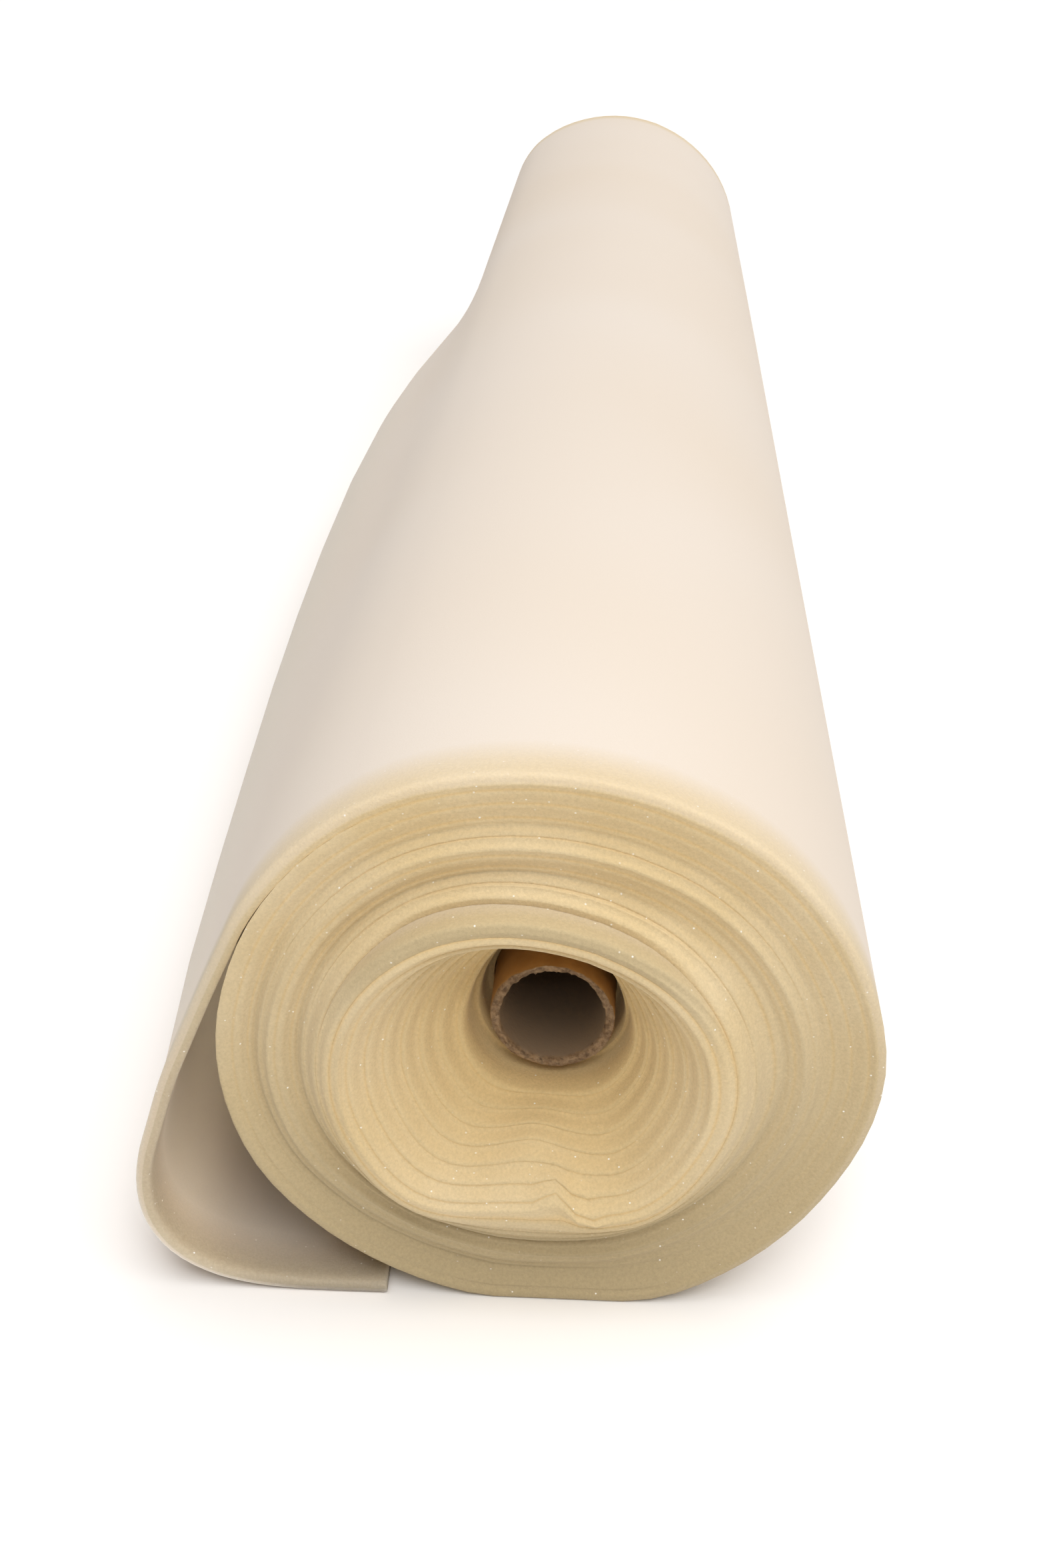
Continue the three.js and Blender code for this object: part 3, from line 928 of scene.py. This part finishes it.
    def curve(self, along: float) -> Curve:
        """Lay the loose end's middle line, once for each place along the roll.

        Args:
            along: The share of the way along the roll.

        Returns:
            The line.
        """
        key = round(along, 4)
        if key not in self._curves:
            self._curves[key] = Curve(self.loose.points(self.winding, key), first=1)
        return self._curves[key]

    def build(self) -> bpy.types.Object:
        """Make the sheet as one closed mesh.

        Returns:
            The sheet, without its finish.
        """
        stations, spots = self.stations(), self.outline()
        columns, rows = len(stations) - 1, len(spots)
        made = bmesh.new()
        cut = made.verts.layers.float.new("cut")
        deep = made.verts.layers.float.new("deep")
        free = made.verts.layers.float.new("free")
        seam = made.verts.layers.float.new("seam")
        painted_shade_mask = made.verts.layers.float.new("painted_shade_mask")
        uv = made.loops.layers.uv.new("sheet")
        bmesh.ops.create_grid(made, x_segments=columns, y_segments=rows, size=0.5)
        where = {
            vert: (round((vert.co.x + 0.5) * columns), round((vert.co.y + 0.5) * rows))
            for vert in made.verts
        }
        at = {place: vert for vert, place in where.items()}
        girth = self.girth(spots)
        for face in made.faces:
            for loop in face.loops:
                column, row = where[loop.vert]
                loop[uv].uv = (stations[column].travelled * MILLIMETRE, girth[row])
        for (column, row), vert in at.items():
            station, spot = stations[column], spots[row % rows]
            vert.co = self.place(station, spot)
            _, from_edge = self.depth_at(station, spot)
            hangs = 0.0
            if station.loose is not None:
                from_edge = min(from_edge, self.loose.length - station.loose)
                hangs = smooth(station.loose, *self.hangs_from)
            paler = self.paler_share * smooth(station.turn + spot.level, *self.paler_from)
            vert[cut] = (1.0 - smooth(from_edge, *self.yellowed)) * (1.0 - paler)
            # Painted bounce light: a more golden tint on the turns near the core.
            vert[deep] = 1.0 - smooth(station.turn, 0.0, self.deep_to)
            vert[free] = hangs
            # Painted shade on the cut edge, darker towards the floor and on the lip over the core.
            vert[painted_shade_mask] = self.painted_shade_share(station, vert.co.z)
            # Painted shade along the line between two flush turns, none where the sheet hangs free.
            vert[seam] = self.seam_shade_share(station, spot) * (1.0 - hangs)
        bmesh.ops.weld_verts(
            made, targetmap={at[column, rows]: at[column, 0] for column in range(columns + 1)}
        )
        for column in (0, columns):
            ring = [at[column, row] for row in range(rows)]
            bmesh.ops.contextual_create(made, geom=ring)
        bmesh.ops.recalc_face_normals(made, faces=made.faces)
        return finished_object("foam_sheet", made)

    def girth(self, spots: list[Spot]) -> list[float]:
        """Measure how far round the cross-section each spot is.

        Args:
            spots: The cross-section's spots.

        Returns:
            The distances in metres, one more than there are spots.
        """
        width, thickness = self.winding.sheet_width, self.winding.thickness
        flat = []
        for spot in [*spots, spots[0]]:
            own = spot.depth + spot.share * width + self.usual_corner * spot.drawn_in
            flat.append(Vector((
                own if spot.side is Side.NEAR else width - own, spot.level * thickness, 0.0,
            )))
        found = [0.0]
        for before, here in zip(flat, flat[1:]):
            found.append(found[-1] + (here - before).length * MILLIMETRE)
        return found


# The core

@dataclass(frozen=True)
class Ply:
    """One layer of the core's paper at its torn mouth.

    Attributes:
        radius: The layer's boundary, in millimetres.
        back: How far behind the foremost tear it ends on average.
        ragged: How far its end strays.
        seed: Which tear it has.
    """

    radius: float
    back: float
    ragged: float
    seed: float


@dataclass
class CoreTube:
    """The cardboard tube that the sheet is wound on.

    Attributes:
        centre: Its axis, right of the middle and above the floor.
        near_end: Where its torn mouth starts along the roll.
        far_end: Where it ends.
        plies: The layers at the torn mouth, from the outside in.
        torn_side: The angle where the outer layers are torn back most, in degrees.
        peeled: How far back the outer layers are torn there, and the inner ones across from it.
        torn_depth: How far behind the mouth the layers are torn.
        waves: The tears' scales round the mouth, slow, fast and ragged, and their shares.
        bent: How far the slow and the fast waves bend the torn layers in and out.
        steps: Steps round the tube.
        stations: How far behind the mouth the wall has rings.
    """

    centre: Pair = (2.2, 123.6)
    near_end: float = -706.0
    far_end: float = 822.5
    plies: tuple[Ply, ...] = (
        Ply(25.2, 1.0, 1.0, 0.0),
        Ply(24.9, 0.4, 1.3, 0.4),
        Ply(24.2, 0.3, 1.6, 1.1),
        Ply(23.4, 0.6, 1.9, 2.0),
        Ply(22.5, 0.4, 2.1, 2.9),
        Ply(21.9, 0.8, 2.3, 4.2),
        Ply(21.4, 1.6, 2.6, 5.0),
    )
    torn_side: float = 222.0
    peeled: Pair = (2.8, 2.6)
    torn_depth: float = 4.5
    waves: tuple[Pair, ...] = ((1.6, 0.9), (7.0, 0.8), (19.0, 0.5))
    bent: Pair = (0.008, 0.012)
    steps: int = 144
    stations: tuple[float, ...] = (5.0, 9.0, 16.0, 30.0, 60.0, 200.0, 700.0)

    def build(self) -> bpy.types.Object:
        """Make the tube as one closed mesh.

        Returns:
            The tube, without its finish.
        """
        inner = self.plies[-1].radius
        outer = self.plies[0].radius
        wall = [(outer, self.near_end + back) for back in reversed(self.stations)]
        mouth = [(ply.radius, self.near_end + ply.back) for ply in self.plies]
        bore = [(inner, self.near_end + back) for back in self.stations]
        far = [(inner, self.far_end), (outer, self.far_end)]
        made = bmesh.new()
        paper = made.verts.layers.float.new("torn")
        inside = made.verts.layers.float.new("inside")
        verts = []
        for index, (radius, y) in enumerate([*wall, *mouth, *bore, *far]):
            vert = made.verts.new((radius, y, 0.0))
            ply = index - len(wall)
            vert[paper] = 1.0 if 0 < ply < len(mouth) else 0.0
            vert[inside] = 1.0 if ply >= len(mouth) - 1 and radius < outer else 0.0
            verts.append(vert)
        edges = [made.edges.new(pair) for pair in zip(verts, [*verts[1:], verts[0]])]
        bmesh.ops.spin(
            made, geom=[*verts, *edges], cent=(0.0, 0.0, 0.0), axis=(0.0, 1.0, 0.0),
            angle=math.tau, steps=self.steps, use_merge=True, use_duplicate=False,
        )
        for vert in made.verts:
            self.tear(vert)
        shift = Vector((self.centre[0], 0.0, self.centre[1]))
        bmesh.ops.translate(made, vec=shift, verts=made.verts)
        bmesh.ops.scale(made, vec=Vector((MILLIMETRE,) * 3), verts=made.verts)
        bmesh.ops.recalc_face_normals(made, faces=made.faces)
        return finished_object("core", made)

    def tear(self, vert: bmesh.types.BMVert) -> None:
        """Move a vertex of the mouth to where its layer is torn off.

        Args:
            vert: The vertex, round the tube's own axis.
        """
        behind = vert.co.y - self.near_end
        if behind > self.torn_depth:
            return
        radius = math.hypot(vert.co.x, vert.co.z)
        ply = min(self.plies, key=lambda found: abs(found.radius - radius))
        around = Vector((vert.co.x, vert.co.z, 0.0)) / radius
        seeds = ((ply.seed * 0.3, 4.0, 0.0), (ply.seed, 0.0, 8.0), (0.0, ply.seed, 2.0))
        heights = [
            noise.noise(around * scale + Vector(seed)) for (scale, _), seed in zip(self.waves, seeds)
        ]
        turned = math.degrees(math.atan2(vert.co.z, vert.co.x)) - self.torn_side
        torn_here = 0.5 + 0.5 * math.cos(math.radians(turned))
        inward = self.plies.index(ply) / (len(self.plies) - 1)
        vert.co.y += self.peeled[0] * torn_here * (1.0 - inward) + self.peeled[1] * (1.0 - torn_here) * inward
        vert.co.y += ply.ragged * sum(
            share * height for (_, share), height in zip(self.waves, heights)
        )
        bent = 1.0 + self.bent[1] * heights[1] + self.bent[0] * heights[0]
        vert.co.x *= bent
        vert.co.z *= bent


# Finishes

@dataclass(frozen=True)
class Texture:
    """The sizes of one noise texture.

    Attributes:
        scale: How many waves a metre has.
        detail: How many finer layers it has.
        rough: How strong the finer layers are.
    """

    scale: float
    detail: float
    rough: float


class Graph:
    """A material and the shader nodes in it."""

    def __init__(self, name: str) -> None:
        """Start a material with nothing but its output.

        Args:
            name: The material's name.
        """
        self.material = bpy.data.materials.new(name)
        self.material.use_nodes = True
        self.nodes = self.material.node_tree.nodes
        self.links = self.material.node_tree.links
        self.nodes.clear()
        self.output = self.nodes.new("ShaderNodeOutputMaterial")

    def add(
        self, kind: str, inputs: dict[str | int, object] | None = None, **settings: object,
    ) -> bpy.types.Node:
        """Add a node.

        Args:
            kind: The node's type, without its ShaderNode prefix.
            inputs: Socket names or numbers, and the value or the output socket for each.
            **settings: The node's own settings.

        Returns:
            The node.
        """
        node = self.nodes.new("ShaderNode" + kind)
        for setting, value in settings.items():
            setattr(node, setting, value)
        for key, value in (inputs or {}).items():
            if isinstance(value, Socket):
                self.links.new(value, node.inputs[key])
            else:
                node.inputs[key].default_value = value
        return node

    def noise(self, where: Socket, texture: Texture) -> Socket:
        """Add a noise texture.

        Args:
            where: The coordinates to read.
            texture: Its sizes.

        Returns:
            The noise, from 0 to 1.
        """
        return self.add("TexNoise", {
            "Vector": where, "Scale": texture.scale, "Detail": texture.detail,
            "Roughness": texture.rough,
        }).outputs["Fac"]

    def span(self, value: Socket, old: Pair, new: Pair = (0.0, 1.0)) -> Socket:
        """Stretch a value from one range to another, and keep it there.

        Args:
            value: The value.
            old: The range it has.
            new: The range it gets.

        Returns:
            The stretched value.
        """
        return self.add("MapRange", {
            "Value": value, "From Min": old[0], "From Max": old[1], "To Min": new[0], "To Max": new[1],
        }).outputs["Result"]

    def math(self, kind: str, first: object, second: object) -> Socket:
        """Join two values by arithmetic.

        Args:
            kind: What is done with them.
            first: The first value or socket.
            second: The second value or socket.

        Returns:
            The result.
        """
        return self.add("Math", {0: first, 1: second}, operation=kind).outputs[0]

    def blend(self, share: object, first: object, second: object, kind: str = "MIX") -> Socket:
        """Blend two colours.

        Args:
            share: How much of the second there is.
            first: The first colour or socket.
            second: The second colour or socket.
            kind: How they are blended.

        Returns:
            The blended colour.
        """
        inputs = {0: share, MIX_FIRST: first, MIX_SECOND: second}
        node = self.add("Mix", inputs, data_type="RGBA", blend_type=kind)
        return node.outputs[MIX_RESULT]

    def bump(self, height: Socket, relief: Pair, below: Socket | None = None) -> Socket:
        """Add a bump.

        Args:
            height: The bump's height, from 0 to 1.
            relief: How strong it is, and how high it stands, in metres.
            below: A bump that this one lies on.

        Returns:
            The bumped normal.
        """
        strength, distance = relief
        inputs: dict[str | int, object] = {
            "Height": height, "Strength": strength, "Distance": distance,
        }
        if below is not None:
            inputs["Normal"] = below
        return self.add("Bump", inputs).outputs["Normal"]

    def finish(self, surface: bpy.types.Node) -> bpy.types.Material:
        """Connect the surface and return the material."""
        self.links.new(surface.outputs[0], self.output.inputs["Surface"])
        return self.material


@dataclass(frozen=True)
class FacedFoam:
    """Open-celled foam with a fine cloth face, yellow where it is cut.

    Attributes:
        face: The cloth face's colour.
        face_shade: The face's colour where it is greyer.
        loose_face: The face's warmer colour along the loose end.
        cut: The cut foam's colour.
        cut_shade: The cut foam's colour where it has yellowed more.
        deep: The cut foam's more golden colour near the core, painted bounce light in the funnel.
        seam: The painted shade colour of the cut foam along the line where two turns meet.
        painted_shade: The painted shade colour of the cut foam, low down and on the lip over the core.
        loose_cut: The cut foam's greyer colour along the loose end.
        painted_glint: The near-white colour of the painted glints, where cell walls would catch the light.
        clouds: The face's greyer clouds.
        patches: The cut foam's yellower patches.
        grain: The face's grain.
        grain_relief: How strong the grain's bump is, and its height in metres.
        cells: The foam's cells.
        cell_relief: How strong the cells' bump is, and its height in metres.
        speckle: How dark and how light the cells make the foam.
        fray: How far the grain shifts the border of the yellow.
        border: The shares of cut foam between which the face gives way to it.
        line: How strong the painted shade line between two turns is.
        sparkles: How many places a metre has for painted glints.
        sparkle_sizes: The distances from a painted glint's middle between which it ends.
        sparkle_picks: The share of the places that have none, and from where they have one in full.
        glow: How far light goes through the loose end's foam, in metres.
        glow_tint: How far each colour of that light goes, as a share of it.
    """

    face: Colour = linear(226, 215, 203)
    face_shade: Colour = linear(224, 211, 196)
    loose_face: Colour = linear(228, 206, 184)
    cut: Colour = linear(220, 200, 162)
    cut_shade: Colour = linear(215, 192, 148)
    deep: Colour = linear(220, 194, 142)
    seam: Colour = linear(216, 180, 118)
    painted_shade: Colour = linear(182, 164, 128)
    loose_cut: Colour = linear(178, 162, 138)
    painted_glint: Colour = linear(250, 246, 236)
    clouds: Texture = Texture(4.0, 1.0, 0.4)
    patches: Texture = Texture(16.0, 3.0, 0.5)
    grain: Texture = Texture(1300.0, 2.0, 0.6)
    grain_relief: Pair = (0.12, 0.0005)
    cells: Texture = Texture(800.0, 3.0, 0.7)
    cell_relief: Pair = (0.3, 0.0012)
    speckle: Pair = (0.9, 1.06)
    fray: float = 0.05
    border: Pair = (0.03, 0.97)
    line: float = 0.45
    sparkles: float = 230.0
    sparkle_sizes: Pair = (0.06, 0.11)
    sparkle_picks: Pair = (0.4, 0.9)
    glow: float = 0.034
    glow_tint: tuple[float, float, float] = (1.0, 0.97, 0.9)

    def material(self) -> bpy.types.Material:
        """Make the finish.

        Returns:
            The material.
        """
        graph = Graph("faced_foam")
        where = graph.add("TexCoord").outputs["Object"]
        cut, deep, free, seam, painted_shade_mask = (
            graph.add("Attribute", attribute_name=name).outputs["Fac"]
            for name in ("cut", "deep", "free", "seam", "painted_shade_mask")
        )
        fine, patch, broad, pores = (
            graph.noise(where, texture)
            for texture in (self.grain, self.patches, self.clouds, self.cells)
        )
        face = graph.blend(graph.span(broad, NOISE_RANGE), self.face, self.face_shade)
        # The face is warmer along the loose end.
        face = graph.blend(free, face, self.loose_face)
        foam = graph.blend(graph.span(patch, NOISE_MIDDLE), self.cut, self.cut_shade)
        # Painted bounce light: the cut foam more golden near the core.
        foam = graph.blend(deep, foam, self.deep)
        # Painted shade along the lines where two turns meet.
        foam = graph.blend(graph.span(seam, (0.0, 1.0), (0.0, self.line)), foam, self.seam)
        # Painted shade: the cut foam darker towards the floor and on the lip over the core.
        foam = graph.blend(painted_shade_mask, foam, self.painted_shade)
        # The cut foam is greyer along the loose end.
        foam = graph.blend(free, foam, self.loose_cut)
        speckle = self.grey(graph, graph.span(pores, NOISE_RANGE, self.speckle))
        foam = graph.blend(1.0, foam, speckle, "MULTIPLY")
        # Painted glints: tiny near-white spots in the colour where cell walls would catch the light.
        foam = graph.blend(self.painted_glints(graph, where), foam, self.painted_glint)
        frayed = graph.math("ADD", cut, graph.span(fine, NOISE_RANGE, (-self.fray, self.fray)))
        colour = graph.blend(graph.span(frayed, self.border), face, foam)
        grained = graph.bump(fine, self.grain_relief)
        surface = graph.add("BsdfPrincipled", {
            "Base Color": colour, "Roughness": 0.95, "Specular IOR Level": 0.15,
            "Subsurface Weight": free, "Subsurface Scale": self.glow,
            "Subsurface Radius": self.glow_tint, "Sheen Weight": 0.1, "Sheen Roughness": 0.5,
            "Normal": graph.bump(graph.math("MULTIPLY", pores, cut), self.cell_relief, grained),
        })
        return graph.finish(surface)

    def painted_glints(self, graph: Graph, where: Socket) -> Socket:
        """Scatter the painted glints, tiny near-white spots where cell walls would catch the light.

        Args:
            graph: The material's graph.
            where: The coordinates to read.

        Returns:
            1 on a painted glint, else 0.
        """
        cells = graph.add("TexVoronoi", {"Vector": where, "Scale": self.sparkles})
        near = graph.span(cells.outputs["Distance"], self.sparkle_sizes, (1.0, 0.0))
        picked = graph.add("SeparateColor", {0: cells.outputs["Color"]}).outputs[0]
        return graph.math("MULTIPLY", near, graph.span(picked, self.sparkle_picks))

    @staticmethod
    def grey(graph: Graph, level: Socket) -> Socket:
        """Turn a level into a grey colour."""
        return graph.add("CombineColor", {0: level, 1: level, 2: level}).outputs[0]


@dataclass(frozen=True)
class Cardboard:
    """Spiral-wound kraft board, greyer where it is torn and inside.

    Attributes:
        kraft: The smooth paper's colour.
        kraft_dark: The paper's darker fibres.
        torn: The torn layers' colour.
        torn_dark: The torn layers' shade.
        bore: The colour inside the tube.
        fibres: The paper's fibres.
        fibre_relief: How strong their bump is, and its height in metres.
        blotches: The darker blotches.
    """

    kraft: Colour = linear(176, 134, 82)
    kraft_dark: Colour = linear(150, 110, 64)
    torn: Colour = linear(164, 136, 104)
    torn_dark: Colour = linear(112, 88, 64)
    bore: Colour = linear(148, 128, 106)
    fibres: Texture = Texture(420.0, 4.0, 0.65)
    fibre_relief: Pair = (0.5, 0.0005)
    blotches: Texture = Texture(70.0, 3.0, 0.5)

    def material(self) -> bpy.types.Material:
        """Make the finish.

        Returns:
            The material.
        """
        graph = Graph("kraft_board")
        where = graph.add("TexCoord").outputs["Object"]
        torn = graph.add("Attribute", attribute_name="torn").outputs["Fac"]
        inside = graph.add("Attribute", attribute_name="inside").outputs["Fac"]
        fibres = graph.noise(where, self.fibres)
        blotch = graph.noise(where, self.blotches)
        paper = graph.blend(graph.span(blotch, NOISE_RANGE), self.kraft, self.kraft_dark)
        paper = graph.blend(inside, paper, self.bore)
        rim = graph.blend(graph.span(fibres, NOISE_MIDDLE), self.torn, self.torn_dark)
        surface = graph.add("BsdfPrincipled", {
            "Base Color": graph.blend(torn, paper, rim), "Roughness": 0.85,
            "Specular IOR Level": 0.3, "Normal": graph.bump(fibres, self.fibre_relief),
        })
        return graph.finish(surface)


@dataclass(frozen=True)
class PaleFloor:
    """A plain white floor.

    Attributes:
        colour: Its colour.
    """

    colour: Colour = (0.95, 0.935, 0.92, 1.0)

    def material(self) -> bpy.types.Material:
        """Make the finish.

        Returns:
            The material.
        """
        graph = Graph("pale_floor")
        surface = graph.add("BsdfPrincipled", {
            "Base Color": self.colour, "Roughness": 0.95, "Specular IOR Level": 0.1,
        })
        return graph.finish(surface)


# Floor, light and camera

@dataclass(frozen=True)
class SoftLight:
    """A soft rectangular light.

    Attributes:
        name: The light's name.
        place: Where it hangs.
        target: What it is turned to.
        size: Its side.
        power: Its power, in watts.
    """

    name: str
    place: tuple[float, float, float]
    target: tuple[float, float, float]
    size: float
    power: float

    def hang(self) -> None:
        """Put the light in the scene."""
        lamp = bpy.data.lights.new(self.name, "AREA")
        lamp.shape = "SQUARE"
        lamp.size = self.size
        lamp.energy = self.power
        hung = bpy.data.objects.new(self.name, lamp)
        hung.location = self.place
        away = Vector(self.target) - Vector(self.place)
        hung.rotation_mode = "QUATERNION"
        hung.rotation_quaternion = away.to_track_quat("-Z", "Y")
        bpy.context.scene.collection.objects.link(hung)


@dataclass(frozen=True)
class EvenLight:
    """The even light that reaches the whole floor.

    Attributes:
        strength: Its strength.
        spread: How wide it looks, in degrees.
        forward: How far it leans to the front, in degrees.
        right: How far it leans to the right, in degrees.
        distance: How far away it hangs, in metres.
    """

    strength: float = 2.95
    spread: float = 66.0
    forward: float = 12.0
    right: float = 12.0
    distance: float = 3.0

    def hang(self) -> None:
        """Put the light in the scene."""
        forward, right = math.radians(self.forward), math.radians(self.right)
        lamp = bpy.data.lights.new("even", "SUN")
        lamp.energy = self.strength
        lamp.angle = math.radians(self.spread)
        hung = bpy.data.objects.new("even", lamp)
        place = Vector((math.sin(right), -math.sin(forward), math.cos(forward)))
        hung.location = place * self.distance
        hung.rotation_mode = "QUATERNION"
        hung.rotation_quaternion = (-place).to_track_quat("-Z", "Y")
        bpy.context.scene.collection.objects.link(hung)


@dataclass(frozen=True)
class Studio:
    """The floor, the light and the camera.

    Attributes:
        floor_size: The floor's side, in metres.
        sky: How strong the light from all round is.
        sky_colour: Its colour.
        backdrop: How bright the backdrop itself looks.
        backdrop_colour: Its colour.
        lights: The lights.
        camera_place: Where the camera stands, in metres.
        yaw: How far it is turned to the right, in degrees.
        pitch: How far it looks down, in degrees.
        roll: How far it is tilted, in degrees.
        lens: Its focal length, in millimetres.
        sensor: Its sensor's longer side, in millimetres.
        clip: The nearest and farthest that it sees, in metres.
    """

    floor_size: float = 60.0
    sky: float = 0.24
    sky_colour: Colour = (1.0, 0.95, 0.9, 1.0)
    backdrop: float = 1.0
    backdrop_colour: Colour = (1.0, 1.0, 1.0, 1.0)
    lights: tuple[EvenLight | SoftLight, ...] = (
        EvenLight(),
        SoftLight("near_end", (0.05, -1.3, 0.8), (0.0, -0.74, 0.15), 0.3, 1.4),
    )
    camera_place: tuple[float, float, float] = (0.03315, -1.2696, 0.5494)
    yaw: float = -4.18
    pitch: float = 29.32
    roll: float = -0.97
    lens: float = 40.118
    sensor: float = 36.0
    clip: Pair = (0.05, 100.0)

    def build(self) -> None:
        """Make the floor, the light and the camera."""
        made = bmesh.new()
        bmesh.ops.create_grid(made, x_segments=1, y_segments=1, size=self.floor_size / 2.0)
        floor = finished_object("floor", made, smooth_faces=False)
        floor.data.materials.append(PaleFloor().material())
        self.light_backdrop()
        for light in self.lights:
            light.hang()
        self.set_camera()
        bpy.context.scene.view_settings.view_transform = "Standard"

    def light_backdrop(self) -> None:
        """Make the light from all round, and the white backdrop."""
        world = bpy.data.worlds.new("studio")
        world.use_nodes = True
        nodes, links = world.node_tree.nodes, world.node_tree.links
        background, seen = nodes["Background"], nodes.new("ShaderNodeLightPath")
        tint = nodes.new("ShaderNodeMix")
        tint.data_type = "RGBA"
        tint.inputs[MIX_FIRST].default_value = self.sky_colour
        tint.inputs[MIX_SECOND].default_value = self.backdrop_colour
        links.new(seen.outputs["Is Camera Ray"], tint.inputs[0])
        links.new(tint.outputs[MIX_RESULT], background.inputs["Color"])
        strength = nodes.new("ShaderNodeMapRange")
        strength.inputs["To Min"].default_value = self.sky
        strength.inputs["To Max"].default_value = self.backdrop
        links.new(seen.outputs["Is Camera Ray"], strength.inputs["Value"])
        links.new(strength.outputs["Result"], background.inputs["Strength"])
        bpy.context.scene.world = world

    def set_camera(self) -> None:
        """Put the camera at the photograph's place and angle."""
        yaw, pitch, roll = (math.radians(value) for value in (self.yaw, self.pitch, self.roll))
        ahead = Vector((
            math.sin(yaw) * math.cos(pitch), math.cos(yaw) * math.cos(pitch), -math.sin(pitch),
        ))
        right = Vector((math.cos(yaw), -math.sin(yaw), 0.0))
        up = right.cross(ahead)
        turned_right = right * math.cos(roll) + up * math.sin(roll)
        turned_up = up * math.cos(roll) - right * math.sin(roll)
        data = bpy.data.cameras.new("photo_view")
        data.sensor_fit = "AUTO"
        data.sensor_width = self.sensor
        data.lens = self.lens
        data.clip_start, data.clip_end = self.clip
        camera = bpy.data.objects.new("photo_view", data)
        axes = Matrix((turned_right, turned_up, -ahead)).transposed().to_4x4()
        camera.matrix_world = Matrix.Translation(self.camera_place) @ axes
        bpy.context.scene.collection.objects.link(camera)
        bpy.context.scene.camera = camera


# The whole roll

@dataclass
class FoamRoll:
    """The whole roll: the foam sheet and the core in it.

    Attributes:
        sheet: The sheet.
        core: The core.
    """

    sheet: FoamSheet = field(default_factory=FoamSheet)
    core: CoreTube = field(default_factory=CoreTube)

    def build(self) -> None:
        core = self.core.build()
        core.data.materials.append(Cardboard().material())
        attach(core, "root")
        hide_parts("core_tube")
        foam = self.sheet.build()
        foam.data.materials.append(FacedFoam().material())
        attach(foam, "root")
        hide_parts("foam_roll", "loose_end")
        log.info("roll: %.2f turns and a loose end", self.sheet.winding.turns)


def main() -> None:
    """Build the roll and the studio in order."""
    logging.basicConfig(level=logging.INFO, format="%(name)s %(message)s")
    FoamRoll().build()
    Studio().build()


if __name__ == "__main__":
    main()
